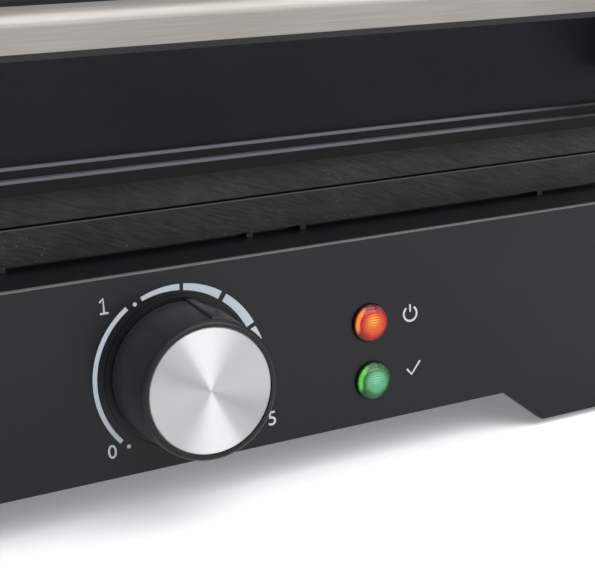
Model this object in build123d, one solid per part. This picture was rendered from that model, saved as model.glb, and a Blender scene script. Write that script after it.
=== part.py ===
from build123d import *
import math
import os

# A countertop contact grill with a hinged, floating lid, modelled closed.
# Millimetres. X runs to the user's right, Y to the back and Z up.
# The origin is on the table, under the middle of the grill.
# Cuts run a few millimetres past the faces that they open.

os.makedirs("parts", exist_ok=True)

# ---- fits ----
running = 0.05       # radial clearance of a shaft in its bore
sliding = 0.1        # clearance of a sliding block in its slot
loose = 0.4          # clearance round a piece that drops into a hole
touch = 0.3          # air between a moving piece and what it rests on

# ---- base casing ----
base_width = 350.0
panel_y = -113.0             # front face of the base
base_corner = 16.0
base_wall = 2.5
lobe_z = 2.0                 # underside of the corner lobes
arch_z = 14.2                # lower edge of the casing between the lobes
deck_z = 72.8                # top of the base
deck_wall = 3.0
base_edge = 0.9              # rounding of the deck's outer edge
lobe_land = 8.0              # flat sole of a lobe beyond its slope
front_arch_half = 86.2       # half width of the front arch at its top
side_arch_half = 78.0
arch_slope = 15.0            # how far the lobes slant outwards over their height
arch_round = 2.5
bay_lip = 7.0                # ledge of the deck under the lower pan's rim
rear_inset = 33.0            # side of the rear panel from the casing's side
rear_fit = 0.1               # play of the rear panel in its opening
rear_flange = 1.5
rear_overlap = 5.0           # how far the flange reaches behind the casing's wall

# ---- base cover and feet ----
cover_z = 15.0
cover_wall = 2.5
foot_inset_x = 27.0          # foot centre from the casing's side
foot_inset_y = 22.0          # and from its front and back
foot_radius = 8.0
foot_height = 3.0
foot_stem_radius = 3.5
foot_stem_length = 6.0
foot_pad_radius = 9.5
foot_edge = 0.8
vent_gap = 16.0              # first vent from the tray's side
vent_setback = 45.0          # vents in front of the plates' middle
vent_width = 3.0
vent_length = 42.0
vent_pitch = 8.0
vent_count = 9
boss_radius = 4.0
boss_inset = 16.5            # cover screw from the casing's side
boss_rows = (-62.0, 24.0, 106.0)
screw_radius = 1.5
screw_head_radius = 3.0
screw_head_height = 2.0
screw_grip = 8.0             # length of thread in the part that is held

# ---- control knob ----
knob_x = -24.5
knob_z = 41.5
knob_gap = 0.8
knob_length = 22.2           # from the panel to the face of the cap
knob_base_radius = 21.2
knob_front_radius = 19.8
knob_edge = 1.4
knob_wall = 2.2
cap_radius = 18.0
cap_thickness = 1.2
cap_edge = 0.35              # bright turned chamfer of the cap
cap_recess = 1.4
cap_sink = 0.3               # how far the cap's face lies inside the rim
pointer_angle = 79.0         # degrees anticlockwise from the user's right
pointer_width = 3.2
pointer_rise = 0.7
pointer_root = 3.0           # rib's root inside the knob's wall
pointer_edge = 0.5
hub_radius = 6.5
collar_gap = 0.4             # between the pointer's tip and the raised collar
collar_width = 0.9
collar_rise = 0.6

# ---- thermostat ----
shaft_radius = 3.0
shaft_flat = 1.0             # depth of the flat on the control shaft
neck_radius = 4.5
neck_out = 4.0               # neck in front of the panel
nut_flats = 12.0
nut_height = 3.0
shoulder_radius = 8.0
shoulder_length = 5.0
thermostat_radius = 14.0
thermostat_length = 24.0
thermostat_edge = 1.5
capillary_radius = 0.9
capillary_offset = 3.0       # tube above the can's axis
capillary_lead = 12.0
capillary_run = 16.0
capillary_bend = 6.0
bulb_radius = 3.0
bulb_length = 50.0
bulb_x = -16.5
bulb_gap = 12.0              # from the bulb's back end to the element's inner fold
capillary_slot = 5.0

# ---- indicator lamps ----
lamp_x = 37.5
lamp_heights = {"red": 46.1, "green": 27.7}
lens_radius = 6.0
lens_gap = 0.15
lens_rise = 2.6
lens_slope = 0.6             # share of the rise taken by the sloping edge
lens_flat_radius = 3.9
lens_wall = 1.3
lens_flange_radius = 7.2
lens_flange = 1.0
lens_edge = 0.9
neon_radius = 2.6
neon_reach = 0.2             # glass in front of the panel
neon_round = 1.2
lamp_radius = 6.6
lamp_length = 17.0

# ---- grill plates ----
plate_margin = 14.0          # base casing beyond the plate's side
plate_depth = 196.0
plate_corner = 9.0
plate_setback = 26.5         # from the panel's face to the plate
plate_foot_gap = 1.4         # air between the lower plate and the deck
plate_height = 10.7
plate_skirt = 3.0            # wall round the plate's hidden side
plate_floor = 3.6
plate_edge = 0.4
parting_gap = 0.5            # air between the closed plates
rim_width = 4.5
moat_width = 8.0             # grease channel between rim and ribs
rib_height = 4.5
rib_pitch = 11.0
rib_base = 6.4
rib_draft = 18.0             # degrees
stud_radius = 4.5
lug_positions = (-75.0, 11.0, 29.5, 121.5)
lug_widths = (18.0, 2.0, 2.0, 2.0)
lug_root = 0.5               # lug's top inside the skirt
spout_width = 18.0
spout_length = 6.0
spout_wall = 2.0
spout_low = 0.6              # underside of the spout above the skirt's edge
spout_drop = 2.0             # its cheeks below the rim

# ---- pans and heating elements ----
sheet = 1.0
pan_inset = 9.0              # pan's side inside the plate's skirt
pan_depth = 11.0
pan_corner = 7.0
pan_round = 2.5
element_radius = 3.25
element_bend = 18.0
element_inner_x = 38.0
element_side_inset = 38.0    # outer run from the plate's side
element_front_inset = 32.0   # from the plate's front edge
element_back_inset = 26.0
element_fold_inset = 66.0    # inner fold from the plate's back edge
element_end_bend = 7.0
terminal_radius = 1.6
terminal_length = 7.0
terminal_drop = 6.0          # element's sheathed end below the pan
clip_width = 8.0
clip_tab = 6.0
clip_play = 0.2
clip_setback = 20.0          # clips in front of the plates' middle
stud_x = 75.0
stud_y = 50.0
pan_screw_y = 60.0

# ---- drip tray ----
tray_width = 116.0
tray_depth = 92.0
tray_height = 21.0
tray_wall = 1.6
tray_corner = 5.0
runner_height = 1.2
runner_width = 3.0
runner_x = 40.0
runner_end = 8.0             # runners stop short of the casing's back
guide_height = 10.0
guide_wall = 2.0
grip_reach = 3.0
grip_width = 46.0
grip_height = 5.0
grip_drop = 1.0              # grip below the tray's rim
grip_round = 2.0
drain_width = 34.0
drain_depth = 7.0
drain_wall = 1.5
chute_gap = 1.0              # air between the chute and the tray's rim

# ---- lid ----
lip_overhang = 9.1           # lid rim beyond the plates
lip_drop = 0.7               # how far the rim covers the upper plate
lip_face = 4.5
lip_step = 2.6
second_face = 3.4
ledge = 3.0
rim_corner = 12.0
rim_edge = 0.6
lid_wall = 2.5
lid_edge_z = 149.0           # where the front wall would meet the top
crown_rise = 8.0
lid_round = 6.0
spigot_height = 5.0
spigot_wall = 1.8
lid_boss_gap = 16.0          # lid boss inwards of the element's outer run
lid_boss_y = 62.0

# ---- handle ----
handle_reach = 52.0          # front of the bar before the panel
handle_inset = 18.9          # end of the bar from the lid's side
handle_z = 136.2             # lower edge of the steel
steel_height = 10.4
handle_depth = 20.0
handle_strip = 1.5           # dark strip of the core below the steel
handle_round = 4.6
bracket_width = 12.0
bracket_foot = 24.0          # height of the bracket at the lid
bracket_drop = 8.0           # top of its foot below the top of the bar
bracket_round = 7.0
bracket_flat = 9.0           # straight foot before the arm's first bend
bracket_over = 6.0           # second bend behind the bar, above
bracket_under = 4.0          # and below
bracket_edge = 1.5
spigot_length = 9.0
spigot_width = 12.0
spigot_rise = 1.5            # spigot above the steel's lower edge
spigot_depth = 5.0
handle_screw_spacing = 13.0

# ---- floating hinge ----
hinge_reach = 33.6           # axis behind the lid's back wall
hinge_cover = 15.0           # base casing behind the axis
hinge_z = 100.0
float_travel = 16.0
hinge_shaft_radius = 3.0
barrel_radius = 9.0
barrel_over = 2.0            # barrel beyond each arm
arm_width = 14.0
arm_screw_spacing = 11.0
arm_flange = 3.0
arm_flange_low = 107.5
arm_flange_high = 128.0
web_over = 1.0               # arm's top meets the barrel behind its axis
web_under = 4.0              # and its underside in front of it
web_lift = 1.5               # above the barrel's lowest line
web_foot = 9.0               # thickness of the arm's lower root
web_round = 5.0
barrel_inset = 41.9          # end of the barrel from the lid's side
post_gap = 1.0
post_width = 16.0
post_depth = 26.0
post_wall = 3.0
post_top = 9.0
post_foot = 16.0
post_edge = 1.2
post_screw_spacing = 14.0
glide = 10.0
glide_edge = 1.5

# ---- rear wall and wiring ----
inlet_inset = 47.0           # cord inlet from the casing's side
inlet_z = 34.0
inlet_bore_radius = 3.7
inlet_body_radius = 6.2
inlet_flange_radius = 8.5
inlet_flange = 2.2
inlet_edge = 0.8
inlet_length = 14.0
inlet_shoulder = 2.0
block_gap = 12.0             # air between the terminal block and the inlet
block_offset = 12.0          # terminal block inwards of the inlet
block_width = 30.0
block_depth = 16.0
block_height = 14.0
way_radius = 2.2             # screw wells of the terminal block
way_floor = 4.0
wire_radius = 1.8            # wire holes through it
wire_rise = 6.0
fuse_radius = 2.4
fuse_length = 16.0
fuse_lead = 9.0
fuse_lead_radius = 0.6
fuse_setback = 10.0          # thermal fuse behind the plates' middle
cutout_radius = 8.0
cutout_height = 6.0
cutout_tab = 7.0
cutout_spacing = 10.0
cutout_tab_half = 2.5
cutout_tab_skin = 0.4        # half the tab's thickness

# ---- places that follow from the sizes ----
plate_width = base_width - 2 * plate_margin
element_outer_x = plate_width / 2 - element_side_inset
lid_boss_x = element_outer_x - lid_boss_gap
rear_half = base_width / 2 - rear_inset
inlet_x = base_width / 2 - inlet_inset
inner_face = panel_y + base_wall
plate_front = panel_y + plate_setback
plate_y = plate_front + plate_depth / 2
plate_back = plate_front + plate_depth
lower_skirt_z = deck_z + plate_foot_gap
parting_z = lower_skirt_z + plate_height
upper_face_z = parting_z + parting_gap
upper_skirt_z = upper_face_z + plate_height
pocket_depth = plate_height - rib_height - plate_floor
lip_z = upper_skirt_z - lip_drop
lid_z = lip_z + lip_face + second_face
rim_width_x = plate_width + 2 * lip_overhang
rim_depth_y = plate_depth + 2 * lip_overhang
lid_width = rim_width_x - 4 * lip_step
lid_depth = rim_depth_y - 4 * lip_step
lid_corner = rim_corner - 2 * lip_step
lid_front = plate_y - lid_depth / 2
lid_back = plate_y + lid_depth / 2
hinge_y = lid_back + hinge_reach
base_back = hinge_y + hinge_cover
base_depth = base_back - panel_y
base_y = (panel_y + base_back) / 2
bulb_y = plate_back - element_fold_inset - bulb_gap - bulb_length
handle_half = lid_width / 2 - handle_inset
barrel_half = lid_width / 2 - barrel_inset
arm_outer = barrel_half - barrel_over
cover_top = cover_z + cover_wall
tray_z = cover_top + runner_height + touch
pan_width = plate_width - 2 * (plate_skirt + pan_inset)
pan_span = plate_depth - 2 * (plate_skirt + pan_inset)
bay_width = pan_width + 2 * loose
bay_span = pan_span + 2 * loose
flange_width = bay_width + 2 * bay_lip
flange_span = bay_span + 2 * bay_lip
drain_y = plate_back + spout_length / 2 - 1.0
handle_front = panel_y - handle_reach
handle_back = handle_front + handle_depth
boss_x = base_width / 2 - boss_inset


def block(width, depth, low, high, radius, y=0.0, x=0.0):
    """An upright block with rounded corners between two heights."""
    return Pos(x, y, low) * extrude(RectangleRounded(width, depth, radius), high - low)


def box(x_low, x_high, y_low, y_high, z_low, z_high):
    """A square box between its limits."""
    size = Box(x_high - x_low, y_high - y_low, z_high - z_low)
    return Pos((x_low + x_high) / 2, (y_low + y_high) / 2, (z_low + z_high) / 2) * size


def rod_x(radius, low, high, y, z):
    """A cylinder along X."""
    return Pos((low + high) / 2, y, z) * Rot(0, 90, 0) * Cylinder(radius, high - low)


def rod_y(radius, low, high, x, z):
    """A cylinder along Y."""
    return Pos(x, (low + high) / 2, z) * Rot(90, 0, 0) * Cylinder(radius, high - low)


def rod_z(radius, low, high, x, y):
    """A cylinder along Z."""
    return Pos(x, y, (low + high) / 2) * Cylinder(radius, high - low)


def group(pieces):
    """Separate pieces kept in one node."""
    return Compound(children=[Solid(p.solids()[0].wrapped) for p in pieces])


def screw_down(x, y, seat, grip):
    """A screw whose head sits on a seat and whose shank runs down."""
    head = rod_z(screw_head_radius, seat, seat + screw_head_height, x, y)
    return head + rod_z(screw_radius, seat - grip, seat, x, y)


def screw_up(x, y, seat, grip):
    """A screw whose head hangs under a seat and whose shank runs up."""
    head = rod_z(screw_head_radius, seat - screw_head_height, seat, x, y)
    return head + rod_z(screw_radius, seat, seat + grip, x, y)


def mirrored_pair(x_values, y_values):
    """Every corner of the two lists of distances, taken both ways."""
    return [(sx * x, sy * y) for x in x_values for y in y_values for sx in (-1, 1) for sy in (-1, 1)]


# ---- base ----
def arch_outline(half_width):
    """The raised edge between two lobes, with rounded corners."""
    lobe_half = half_width + arch_slope
    below = lobe_z - 4.0
    points = [
        (-lobe_half - lobe_land, below), (-lobe_half - lobe_land, lobe_z), (-lobe_half, lobe_z),
        (-half_width, arch_z), (half_width, arch_z),
        (lobe_half, lobe_z), (lobe_half + lobe_land, lobe_z), (lobe_half + lobe_land, below),
    ]
    face = make_face(Polyline(*points, close=True))
    corners = [v for v in face.vertices() if abs(v.X) < lobe_half + lobe_land / 2 and v.Y > lobe_z - 1.0]
    return fillet(corners, arch_round)


def cover_screw_places():
    return [(side * boss_x, y) for side in (-1, 1) for y in boss_rows]


def post_screw_places():
    x = barrel_half + post_gap + post_width / 2
    return [(side * x, hinge_y + dy) for side in (-1, 1)
            for dy in (-post_screw_spacing / 2, post_screw_spacing / 2)]


def pan_screw_places():
    x = bay_width / 2 + bay_lip / 2
    return [(side * x, plate_y + dy) for side in (-1, 1) for dy in (-pan_screw_y, pan_screw_y)]


def base_housing():
    """The moulded casing: front panel, deck, lobes, bosses, collar and drain chute."""
    outer = block(base_width, base_depth, lobe_z, deck_z, base_corner, base_y)
    outer = fillet(outer.edges().group_by(Axis.Z)[-1], base_edge)
    inner = block(base_width - 2 * base_wall, base_depth - 2 * base_wall, lobe_z - 1.0,
                  deck_z - deck_wall, base_corner - base_wall, base_y)
    shell = outer - inner
    front_arch = Plane.XZ * arch_outline(front_arch_half)
    shell -= Pos(0, panel_y - 5.0, 0) * extrude(front_arch, -(base_depth + 10.0))
    side_arch = Plane.YZ * arch_outline(side_arch_half)
    shell -= Pos(-base_width / 2 - 5.0, base_y, 0) * extrude(side_arch, base_width + 10.0)
    shell -= block(bay_width, bay_span, deck_z - 10.0, deck_z + 5.0, pan_corner + loose, plate_y)

    for x, y in cover_screw_places():
        shell += rod_z(boss_radius, cover_top, deck_z - deck_wall / 2, x, y)
        shell -= rod_z(screw_radius, cover_top - 1.0, cover_top + screw_grip + 1.0, x, y)
    for x, y in post_screw_places():
        shell -= rod_z(screw_radius + running, deck_z - 10.0, deck_z + 1.0, x, y)
    for x, y in pan_screw_places():
        shell -= rod_z(screw_radius, deck_z - 10.0, deck_z + 1.0, x, y)

    collar_inner = knob_base_radius + pointer_rise + collar_gap
    collar = rod_y(collar_inner + collar_width, panel_y - collar_rise, panel_y + 0.5, knob_x, knob_z)
    shell += collar - rod_y(collar_inner, panel_y - 5.0, panel_y, knob_x, knob_z)
    shell -= rod_y(neck_radius + running, panel_y - 5.0, inner_face + 5.0, knob_x, knob_z)
    for height in lamp_heights.values():
        shell -= rod_y(lens_radius + lens_gap, panel_y - 5.0, inner_face + 5.0, lamp_x, height)

    chute_low = tray_z + tray_height + chute_gap
    chute = extrude(SlotOverall(drain_width + 2 * drain_wall, drain_depth + 2 * drain_wall),
                    deck_z - deck_wall / 2 - chute_low)
    shell += Pos(0, drain_y, chute_low) * chute
    drain = extrude(SlotOverall(drain_width, drain_depth), deck_z + 5.0 - chute_low)
    shell -= Pos(0, drain_y, chute_low - 2.0) * drain

    shell -= box(-rear_half, rear_half, base_back - base_wall, base_back + 1.0, arch_z, deck_z - deck_wall)
    return shell


def rear_panel():
    """The panel in the back wall, with the tray's opening, the cord's hole and a flange inside."""
    top = deck_z - deck_wall - rear_fit
    wall_y = base_back - base_wall
    panel = box(-rear_half + rear_fit, rear_half - rear_fit, wall_y, base_back, arch_z + rear_fit, top)
    for side in (-1, 1):
        edges = sorted((side * (rear_half - rear_overlap), side * (rear_half + rear_overlap)))
        panel += box(*edges, wall_y - rear_flange, wall_y, cover_top + touch, top)
    panel -= box(-tray_width / 2 - loose, tray_width / 2 + loose, base_back - 5.0, base_back + 5.0,
                 tray_z - touch, tray_z + tray_height + loose)
    return panel - rod_y(inlet_body_radius, base_back - 5.0, base_back + 5.0, inlet_x, inlet_z)


def foot_places():
    x = base_width / 2 - foot_inset_x
    return [(sx * x, y) for sx in (-1, 1) for y in (panel_y + foot_inset_y, base_back - foot_inset_y)]


def base_cover():
    """The floor of the base, with foot pads, vents and the tray's runners and guides."""
    room = 2 * (base_wall + touch)
    cover = block(base_width - room, base_depth - room, cover_z, cover_top,
                  base_corner - base_wall - touch, base_y)
    for x, y in foot_places():
        cover += rod_z(foot_pad_radius, foot_height, cover_z + 1.0, x, y)
        cover -= rod_z(foot_stem_radius, foot_height - 1.0, foot_height + foot_stem_length, x, y)
    for x, y in cover_screw_places():
        cover -= rod_z(screw_radius + running, cover_z - 1.0, cover_top + 1.0, x, y)
    for side in (-1, 1):
        for number in range(vent_count):
            x = side * (tray_width / 2 + vent_gap + number * vent_pitch)
            slot = Rot(0, 0, 90) * extrude(SlotOverall(vent_length, vent_width), cover_wall + 2.0)
            cover -= Pos(x, plate_y - vent_setback, cover_z - 1.0) * slot
    tray_front = base_back - tray_depth
    for side in (-1, 1):
        cover += box(side * runner_x - runner_width / 2, side * runner_x + runner_width / 2,
                     tray_front, base_back - runner_end,
                     cover_top - 0.5, cover_top + runner_height)
        guide_x = side * (tray_width / 2 + touch + guide_wall / 2)
        cover += box(guide_x - guide_wall / 2, guide_x + guide_wall / 2, tray_front, base_back - runner_end,
                     cover_top - 0.5, cover_top + guide_height)
    return cover


def rubber_feet():
    feet = []
    for x, y in foot_places():
        pad = rod_z(foot_radius, 0.0, foot_height, x, y)
        pad = fillet(pad.edges().group_by(Axis.Z)[0], foot_edge)
        feet.append(pad + rod_z(foot_stem_radius, foot_height, foot_height + foot_stem_length, x, y))
    return group(feet)


def base_cover_screws():
    return group([screw_up(x, y, cover_z, cover_wall + screw_grip) for x, y in cover_screw_places()])


# ---- heating: the same pieces serve the base and, turned over, the lid ----
def element_path(height, drop):
    """An M-shaped run of tube under a plate, its two ends turned down through the pan."""
    front = plate_front + element_front_inset
    back = plate_back - element_back_inset
    fold = plate_back - element_fold_inset
    right = [(0, fold), (element_inner_x, fold), (element_inner_x, front), (element_outer_x, front)]
    right = right[1:] + [(element_outer_x, back)]
    left = [(-x, y) for x, y in reversed(right)]
    flat = [(x, y, height) for x, y in left + right]
    points = [(*left[0], height - drop)] + flat + [(*right[-1], height - drop)]
    bends = [element_end_bend] + [element_bend] * (len(flat) - 2) + [element_end_bend]
    return FilletPolyline(*points, radius=bends)


def element_height():
    """Height of the element's centre line when it lies against the lower plate."""
    return lower_skirt_z + pocket_depth - element_radius


def heating_element():
    """A tubular element with a thinner terminal at each end."""
    drop = element_height() - (deck_z - pan_depth) + terminal_drop
    path = element_path(element_height(), drop)
    start = Plane(origin=path @ 0, z_dir=path % 0)
    tube = sweep(start * Circle(element_radius), path=path)
    for side in (-1, 1):
        x = side * element_outer_x
        low = element_height() - drop
        tube += rod_z(terminal_radius, low - terminal_length, low + 1.0, x, plate_back - element_back_inset)
    return tube


def element_clips():
    """Saddles that hold the element up against the plate."""
    top = lower_skirt_z + pocket_depth
    centre = element_height()
    inner = element_radius + clip_play
    outer = inner + sheet
    saddle = Pos(0, centre) * Circle(outer) + Pos(0, (centre + top) / 2) * Rectangle(2 * outer, top - centre)
    saddle += Pos(0, top - sheet / 2) * Rectangle(2 * (outer + clip_tab), sheet)
    saddle -= Pos(0, centre) * Circle(inner)
    saddle -= Pos(0, (centre + top) / 2 + 1.0) * Rectangle(2 * inner, top - centre + 2.0)
    strip = extrude(Plane.XZ * saddle, clip_width / 2, both=True)
    halves = []
    for x in (element_inner_x, element_outer_x):
        for side in (-1, 1):
            halves.append(Pos(side * x, plate_y - clip_setback, 0) * strip)
    return [Pos(0, 0, 0) * solid for half in halves for solid in half.solids()]


def pan():
    """A pressed sheet pan whose rim lies on the deck round the bay."""
    floor_z = deck_z - pan_depth
    body = block(pan_width, pan_span, floor_z, deck_z + sheet, pan_corner, plate_y)
    body = fillet(body.edges().group_by(Axis.Z)[0], pan_round)
    body += block(flange_width, flange_span, deck_z, deck_z + sheet, pan_corner + bay_lip, plate_y)
    hollow = block(pan_width - 2 * sheet, pan_span - 2 * sheet, floor_z + sheet, deck_z + 5.0,
                   pan_corner - sheet, plate_y)
    hollow = fillet(hollow.edges().group_by(Axis.Z)[0], pan_round - sheet)
    body -= hollow
    for side in (-1, 1):
        body -= rod_z(element_radius + loose, floor_z - 1.0, floor_z + 3.0,
                      side * element_outer_x, plate_back - element_back_inset)
    for x, y in stud_places():
        body -= rod_z(screw_radius + running, floor_z - 1.0, floor_z + 3.0, x, y)
    for x, y in pan_screw_places():
        body -= rod_z(screw_radius + running, deck_z - 1.0, deck_z + 3.0, x, y)
    return body


def stud_places():
    return [(x, plate_y + y) for x, y in mirrored_pair([stud_x], [stud_y])]


def rib_row():
    """Tapered ribs that run from front to back, in the plate's own height."""
    length = plate_depth - 2 * (rim_width + moat_width)
    room = plate_width - 2 * (rim_width + moat_width) - rib_base
    count = int(room / rib_pitch) + 1
    rib = extrude(Rectangle(rib_base, length), rib_height, taper=rib_draft)
    floor_z = plate_height - rib_height
    first = -(count - 1) * rib_pitch / 2
    return [Pos(first + number * rib_pitch, plate_y, floor_z) * rib for number in range(count)]


def grill_plate():
    """A cast plate with ribs, grease channel, skirt, studs and seating lugs."""
    body = block(plate_width, plate_depth, 0.0, plate_height, plate_corner, plate_y)
    body = fillet(body.edges().group_by(Axis.Z)[-1], plate_edge)
    body -= block(plate_width - 2 * plate_skirt, plate_depth - 2 * plate_skirt, -1.0, pocket_depth,
                  plate_corner - plate_skirt, plate_y)
    body -= block(plate_width - 2 * rim_width, plate_depth - 2 * rim_width, plate_height - rib_height,
                  plate_height + 1.0, plate_corner - rim_width, plate_y)
    body += rib_row()
    pan_floor = deck_z - pan_depth + sheet - lower_skirt_z
    for x, y in stud_places():
        body += rod_z(stud_radius, pan_floor, pocket_depth + 1.0, x, y)
        body -= rod_z(screw_radius, pan_floor - 1.0, pocket_depth, x, y)
    return body


def seating_lugs(bottom):
    """Small feet under the skirt, at the front and the back."""
    lugs = []
    for x, width in zip(lug_positions, lug_widths):
        for y in (plate_front + plate_skirt / 2, plate_back - plate_skirt / 2):
            lugs.append(box(x - width / 2, x + width / 2, y - plate_skirt / 2, y + plate_skirt / 2,
                            bottom, lug_root))
    return lugs


def lower_grill_plate():
    """The lower plate, with a spout in its back rim over the drain."""
    body = grill_plate()
    body += seating_lugs(-plate_foot_gap)
    floor_z = plate_height - rib_height
    cheek = spout_width / 2 + spout_wall
    body += box(-cheek, cheek, plate_back - plate_skirt, plate_back + spout_length,
                spout_low, plate_height - spout_drop)
    body -= box(-spout_width / 2, spout_width / 2, plate_back - rim_width - 1.0,
                plate_back + spout_length - spout_wall, floor_z, plate_height + 1.0)
    body -= box(-spout_width / 2, spout_width / 2, plate_back + spout_wall / 2,
                plate_back + spout_length - spout_wall, -1.0, floor_z + 1.0)
    return Pos(0, 0, lower_skirt_z) * body


def turn_over(piece):
    """Turns a piece of the base's heating over into the lid, about the parting face."""
    return piece.mirror(Plane(origin=(0, 0, parting_z + parting_gap / 2), z_dir=(0, 0, 1)))


def upper_grill_plate():
    body = Pos(0, 0, lower_skirt_z) * grill_plate()
    return turn_over(body)


def plate_screws():
    seat = deck_z - pan_depth
    return [screw_up(x, y, seat, sheet + screw_grip) for x, y in stud_places()]


def lower_pan_screws():
    return [screw_down(x, y, deck_z + sheet, sheet + deck_wall) for x, y in pan_screw_places()]


# ---- knob, thermostat and lamps ----
def control_knob():
    """A hollow, slightly tapered knob with a hub, a pointer rib and a seat for its cap."""
    back = panel_y - knob_gap
    front = panel_y - knob_length - cap_sink
    points = [(0, back), (knob_base_radius, back), (knob_front_radius, front), (0, front)]
    face = make_face(Polyline(*points, close=True))
    face = fillet([v for v in face.vertices() if v.X > 1.0 and v.Y < front + 1.0], knob_edge)
    body = revolve(face, Axis.Y)
    lean = math.degrees(math.atan2(knob_base_radius - knob_front_radius, back - front))
    length = back - front - knob_edge
    rib = box(knob_front_radius - pointer_root, knob_base_radius + pointer_rise, -length, 0.0,
              -pointer_width / 2, pointer_width / 2)
    rib = fillet(rib.edges().filter_by(Axis.Y).group_by(Axis.X)[-1], pointer_edge)
    rib = Pos(knob_base_radius, back, 0) * Rot(0, 0, -lean) * Pos(-knob_base_radius, 0, 0) * rib
    rib -= box(0, 2 * knob_base_radius, back, back + 5.0, -5.0, 5.0)
    body += Rot(0, -pointer_angle, 0) * rib
    body = Pos(knob_x, 0, knob_z) * body
    seat = front + cap_recess + cap_sink
    body -= rod_y(cap_radius + running, front - 1.0, seat, knob_x, knob_z)
    hollow_front = seat + knob_wall
    hollow = rod_y(knob_front_radius - knob_wall, hollow_front, back + 1.0, knob_x, knob_z)
    hub = rod_y(hub_radius, hollow_front, panel_y - neck_out - knob_gap, knob_x, knob_z)
    body -= hollow - hub
    return body - shaft_form(shaft_radius + running, hollow_front, back + 1.0)


def shaft_form(radius, front, back):
    """A round shaft with a flat along its front part, inside the knob."""
    shaft = rod_y(radius, front, back, knob_x, knob_z)
    flat_z = knob_z + radius - shaft_flat
    flat = box(knob_x - radius, knob_x + radius, front - 1.0, panel_y - neck_out - knob_gap,
               flat_z, flat_z + 5.0)
    return shaft - flat


def knob_cap():
    face = panel_y - knob_length
    cap = rod_y(cap_radius, face, face + cap_thickness, knob_x, knob_z)
    return chamfer(cap.edges().group_by(Axis.Y)[0], cap_edge)


def control_shaft():
    front = panel_y - knob_length + cap_recess + knob_wall + touch
    return shaft_form(shaft_radius, front, inner_face + shoulder_length + thermostat_length / 2)


def thermostat():
    """The thermostat's can, with its shoulder and neck in the panel."""
    back = inner_face + shoulder_length
    can = rod_y(thermostat_radius, back, back + thermostat_length, knob_x, knob_z)
    can = fillet(can.edges().group_by(Axis.Y)[-1], thermostat_edge)
    body = can + rod_y(shoulder_radius, inner_face, back + 1.0, knob_x, knob_z)
    body += rod_y(neck_radius, panel_y - neck_out, inner_face + 1.0, knob_x, knob_z)
    depth = back + thermostat_length / 2 + touch
    return body - rod_y(shaft_radius + running, panel_y - neck_out - 1.0, depth, knob_x, knob_z)


def thermostat_nut():
    flats = extrude(Plane.XZ * RegularPolygon(nut_flats / 2, 6, major_radius=False), nut_height)
    nut = Pos(knob_x, panel_y, knob_z) * flats
    return nut - rod_y(neck_radius, panel_y - nut_height - 1.0, panel_y + 1.0, knob_x, knob_z)


def bulb_height():
    return lower_skirt_z + pocket_depth - bulb_radius


def capillary_points():
    """Corners of the thin tube, from the back of the can up through the pan to the bulb."""
    start_y = inner_face + shoulder_length + thermostat_length
    low = knob_z + capillary_offset
    high = bulb_height()
    return [(start_y, low), (start_y + capillary_lead, low),
            (bulb_y - capillary_run, high), (bulb_y + 1.0, high)]


def thermostat_bulb():
    """The sensing bulb under the lower plate and the thin tube that joins it to the can."""
    points = [(bulb_x, y, z) for y, z in capillary_points()]
    path = FilletPolyline(*points, radius=[capillary_bend, capillary_bend])
    tube = sweep(Plane(origin=path @ 0, z_dir=path % 0) * Circle(capillary_radius), path=path)
    return tube + rod_y(bulb_radius, bulb_y, bulb_y + bulb_length, bulb_x, bulb_height())


def lower_pan():
    """The lower pan, with a slot where the thin tube slants through its floor."""
    (_, low), (rise_start, _), (rise_end, high), _ = capillary_points()[0:4]
    floor_z = deck_z - pan_depth
    share = (floor_z - low) / (high - low)
    middle = rise_start + share * (rise_end - rise_start)
    slot = box(bulb_x - capillary_slot / 2, bulb_x + capillary_slot / 2, middle - capillary_slot,
               middle + 1.5 * capillary_slot, floor_z - 1.0, floor_z + 2 * sheet)
    return pan() - slot


def lamp_lens(height):
    """A clear cap pushed through the panel from behind, with a flat face and a round edge."""
    face = panel_y - lens_rise
    points = [
        (0, face), (lens_flat_radius, face), (lens_radius, face + lens_slope * lens_rise),
        (lens_radius, inner_face),
        (lens_flange_radius, inner_face), (lens_flange_radius, inner_face + lens_flange),
        (0, inner_face + lens_flange),
    ]
    outline = make_face(Polyline(*points, close=True))
    corners = [v for v in outline.vertices() if v.X > 1.0 and v.Y < panel_y]
    outline = fillet(corners, lens_edge)
    lens = Pos(lamp_x, 0, height) * revolve(outline, Axis.Y)
    return lens - rod_y(lens_radius - lens_wall, face + lens_wall, inner_face + 5.0, lamp_x, height)


def lamp(height):
    """A neon lamp: glass bulb in front and its sleeve behind the lens."""
    front = inner_face + lens_flange
    sleeve = rod_y(lamp_radius, front, front + lamp_length, lamp_x, height)
    bulb = rod_y(neon_radius, panel_y - neon_reach, front + 1.0, lamp_x, height)
    bulb = fillet(bulb.edges().group_by(Axis.Y)[0], neon_round)
    return sleeve + bulb


# ---- drip tray, inlet and wiring pieces ----
def drip_tray():
    """An open tray that slides out of the back, with a finger grip on its face."""
    front = base_back - tray_depth
    body = block(tray_width, tray_depth, tray_z, tray_z + tray_height, tray_corner,
                 base_back - tray_depth / 2)
    inside = block(tray_width - 2 * tray_wall, tray_depth - 2 * tray_wall, tray_z + tray_wall,
                   tray_z + tray_height + 1.0, tray_corner - tray_wall, base_back - tray_depth / 2)
    body -= inside
    body += box(-tray_width / 2, tray_width / 2, base_back - 2 * tray_wall, base_back,
                tray_z, tray_z + tray_height)
    grip_top = tray_z + tray_height - grip_drop
    grip = box(-grip_width / 2, grip_width / 2, base_back - 1.0, base_back + grip_reach,
               grip_top - grip_height, grip_top)
    grip = fillet(grip.edges().filter_by(Axis.Z).group_by(Axis.Y)[-1], grip_round)
    return body + grip


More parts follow.
